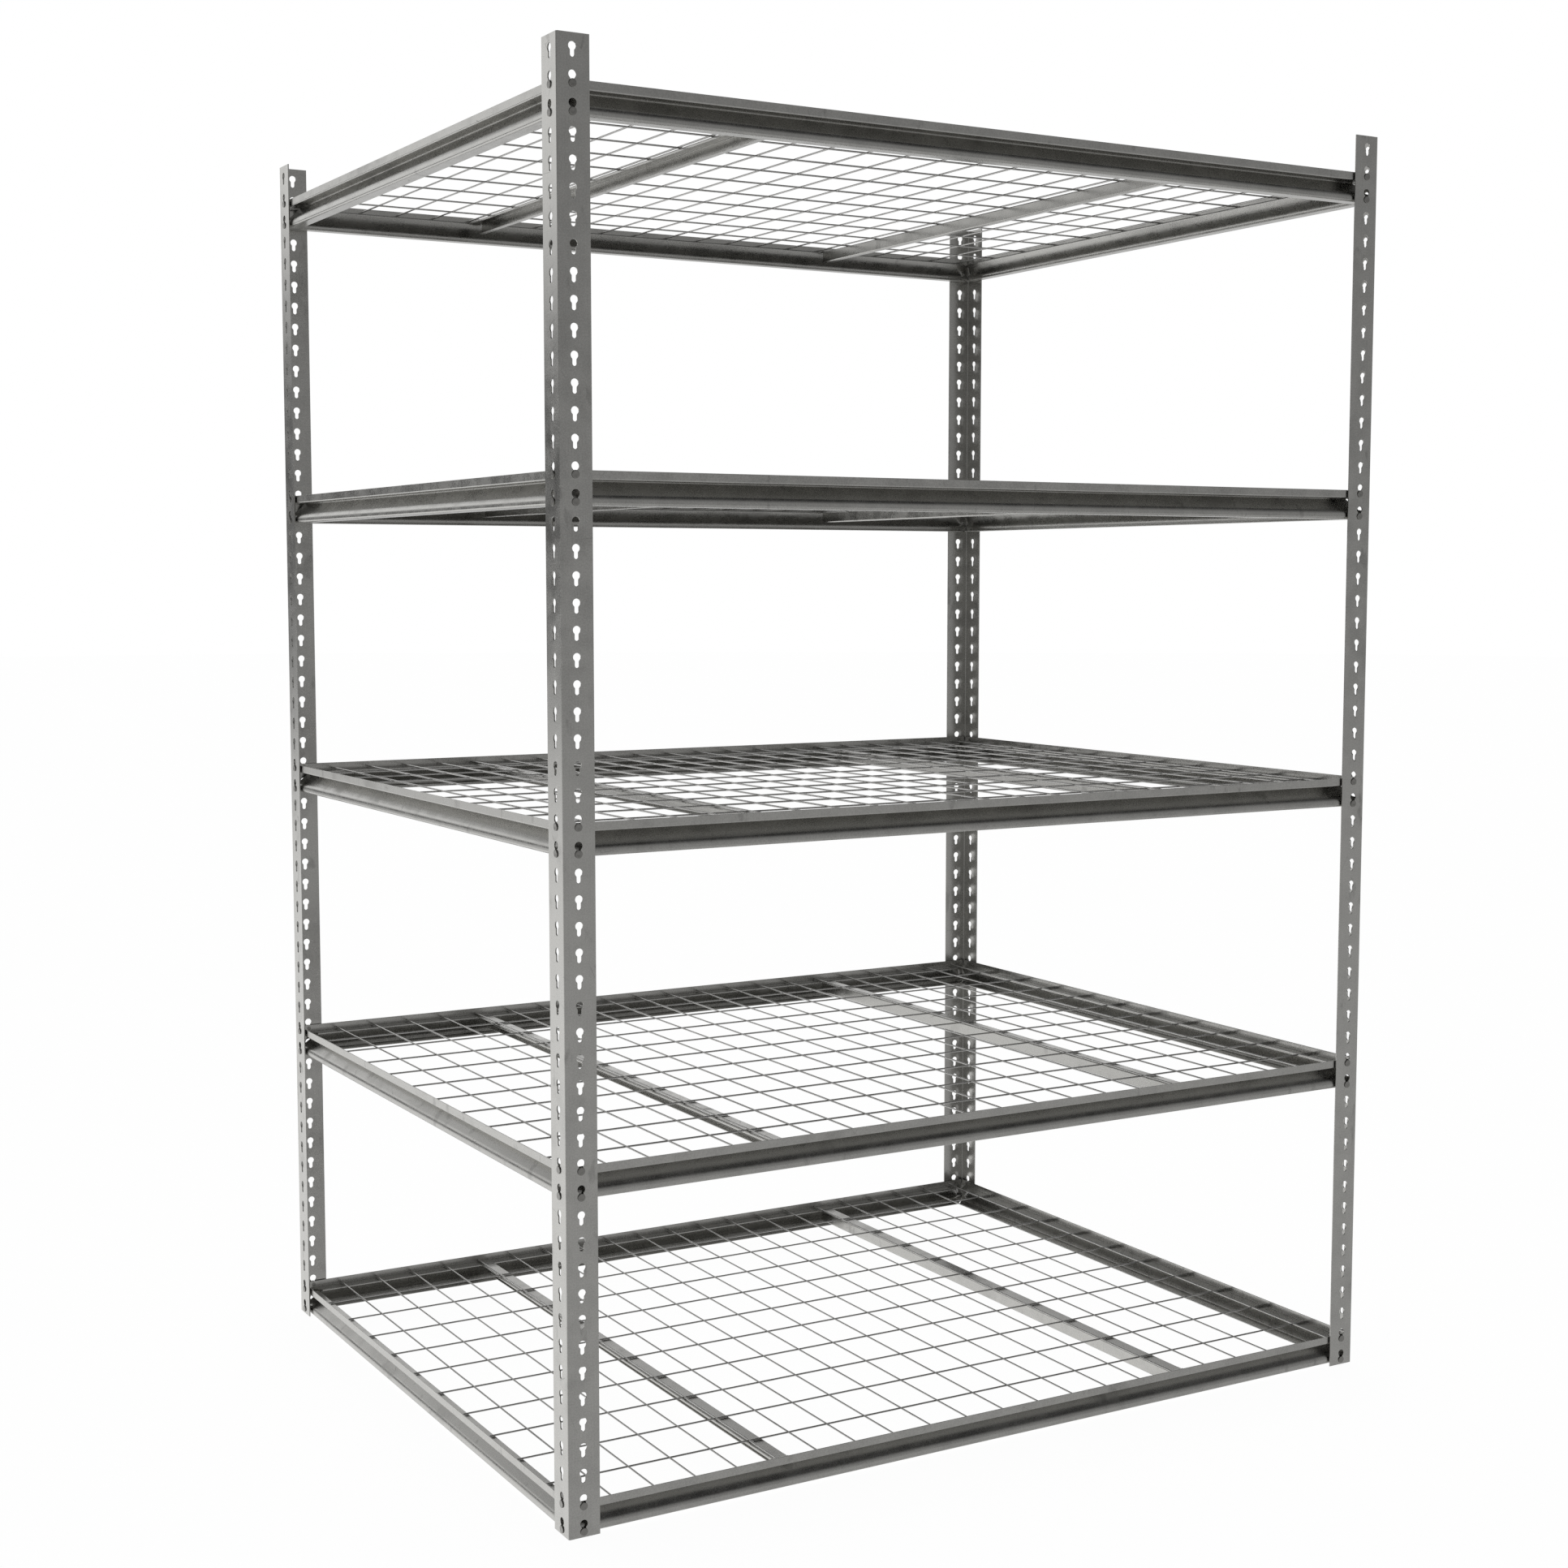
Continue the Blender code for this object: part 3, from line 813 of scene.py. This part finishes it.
def key_light(nodes, x, y, z):
    """A mask for the wide soft light above the horizon at the back, lower towards its sides."""
    off_centre = nodes.math("ABSOLUTE", nodes.minus(x, KEY_MIDDLE_X))
    arched = nodes.plus(z, nodes.times(off_centre, KEY_DROP_TO_SIDES))
    belt = nodes.times(nodes.ramp(z, *KEY_RISES_Z), nodes.ramp(arched, *KEY_ENDS_Z))
    return nodes.times(belt, nodes.ramp(y, *KEY_STARTS_Y))


def studio_level(nodes, x, y, z):
    """The studio's brightness in a direction: bright low down and at the back, dark overhead."""
    behind = nodes.ramp(y, *FRONT_TO_BACK_Y)
    leftward = nodes.ramp(x, *RIGHT_TO_LEFT_X)

    def by_side(front, back_right, back_left):
        return nodes.mix(behind, front, nodes.mix(leftward, back_right, back_left))

    level = by_side(*AT_HORIZON)
    level = nodes.mix(nodes.ramp(z, *FLOOR_FADE_Z), level, by_side(*BELOW_HORIZON))
    dims = [nodes.mix(behind, front, back) for front, back in zip(FRONT_DIMS_Z, BACK_DIMS_Z)]
    level = nodes.mix(nodes.ramp(z, *dims), level, by_side(*ABOVE_HORIZON))
    level = nodes.mix(key_light(nodes, x, y, z), level, KEY_LIGHT)
    level = nodes.mix(nodes.ramp(z, *CEILING_Z), level, DARK_CEILING)
    return nodes.mix(nodes.ramp(z, *ZENITH_Z), level, ZENITH)


def studio_world():
    """A soft studio that lights and mirrors in the paint, and a white backdrop for the camera."""
    world = bpy.data.worlds.new("studio")
    bpy.context.scene.world = world
    world.use_nodes = True
    nodes = Nodes(world.node_tree)
    background = world.node_tree.nodes["Background"]
    direction = nodes.add("ShaderNodeTexCoord").outputs["Generated"]
    parts = nodes.add("ShaderNodeSeparateXYZ")
    nodes.join(direction, parts.inputs[0])
    level = studio_level(nodes, *parts.outputs)
    seen = nodes.add("ShaderNodeLightPath").outputs["Is Camera Ray"]
    nodes.join(nodes.mix(seen, level, 1.0), background.inputs["Strength"])
    background.inputs["Color"].default_value = (1.0, 1.0, 1.0, 1.0)


def add_floor():
    """A wide floor that the camera sees and that doesn't mirror in the paint."""
    build = bmesh.new()
    bmesh.ops.create_circle(build, cap_ends=True, segments=FLOOR_SIDES, radius=FLOOR_RADIUS)
    floor = mesh_piece("floor", build)
    floor.data.materials.append(floor_material())
    floor.visible_glossy = False
    floor.visible_diffuse = False


def add_camera():
    """A camera at the front left, a little above the middle, looking slightly down."""
    data = bpy.data.cameras.new("camera")
    data.sensor_width = CAMERA_SENSOR
    data.lens = CAMERA_LENS
    data.clip_start = CAMERA_CLIP
    camera = bpy.data.objects.new("camera", data)
    camera.location = CAMERA_PLACE
    camera.rotation_euler = Vector(CAMERA_FORWARD).to_track_quat("-Z", "Y").to_euler()
    bpy.context.scene.collection.objects.link(camera)
    bpy.context.scene.camera = camera


# ---------------------------------------------------------------- the shelving

def finish_piece(piece, material, body, slot, *nodes):
    """Give a piece its paint and its body, and hide the CAD nodes that it stands for. The slot is
    not used.
    """
    piece.data.materials.append(material)
    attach(piece, body)
    if nodes:
        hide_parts(*nodes)


def build_posts():
    """The four posts, each turned so that its flanges run inwards from its corner."""
    paint = metal_paint("post_paint", SHEET_GREY, POST_ROUGHNESS, "Z")
    corners = (("front_left", -1, -1), ("front_right", 1, -1),
               ("back_right", 1, 1), ("back_left", -1, 1))
    for turns, (corner, side_x, side_y) in enumerate(corners):
        post = add_post(f"angle_post_{corner}", side_x, side_y, turns)
        finish_piece(post, paint, "posts", "post_paint", f"post_{corner}")


def build_beams(level, rivet_z, beam_paints, rivet_metal):
    """One level's four beams, and the rivets clinched to each."""
    plane_x = HALF_WIDTH - BEAM_INSET
    plane_y = HALF_DEPTH - BEAM_INSET
    across = (plane_y, plane_x, HALF_WIDTH, "X")
    along = (plane_x, plane_y, HALF_DEPTH, "Y")
    sides = (("front", across), ("right", along), ("back", across), ("left", along))
    for turns, (side, (plane, half_plane, half_post, axis)) in enumerate(sides):
        place = BeamPlace(turns, plane, rivet_z)
        beam = add_beam(f"beam_{side}_{level}", place, half_plane)
        finish_piece(beam, beam_paints[axis], f"level_{level}", "beam_paint",
                     f"level_{level}_beam_{side}")
        rivets = add_rivets(f"rivets_{side}_{level}", place, half_post - KEYHOLE_FROM_CORNER)
        finish_piece(rivets, rivet_metal, f"level_{level}", "beam_paint")


def build_supports(level, paint):
    """One level's two centre supports, open to the outside."""
    for side, outward in (("left", -1), ("right", 1)):
        node = f"level_{level}_support_{side}"
        support = add_support(f"support_{side}_{level}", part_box(node), outward)
        finish_piece(support, paint, f"level_{level}", "support_paint", node)


def build_levels():
    """Every level's beams, rivets, supports and wire deck."""
    beam_paints = {axis: metal_paint(f"beam_paint_{axis.lower()}", SHEET_GREY, BEAM_ROUGHNESS, axis)
                   for axis in "XY"}
    rivet_metal = metal_paint("rivet_steel", RIVET_GREY, RIVET_ROUGHNESS, "Z")
    support_paint = metal_paint("support_paint", SUPPORT_GREY, SUPPORT_ROUGHNESS, "Y")
    wire_paint = metal_paint("deck_wire", WIRE_GREY, WIRE_ROUGHNESS, "Z", WIRE_GRAIN_DEPTH)
    for level in LEVELS:
        deck_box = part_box(f"level_{level}_deck")
        rivet_z = deck_box[0].z - DECK_ABOVE_LEDGE - LEDGE_TOP
        build_beams(level, rivet_z, beam_paints, rivet_metal)
        build_supports(level, support_paint)
        deck = add_deck(f"wire_deck_{level}", deck_box)
        finish_piece(deck, wire_paint, f"deck_{level}", "deck_wire", f"level_{level}_deck")


studio_world()
add_camera()
add_floor()
build_posts()
build_levels()
bpy.context.scene.view_settings.view_transform = "Standard"
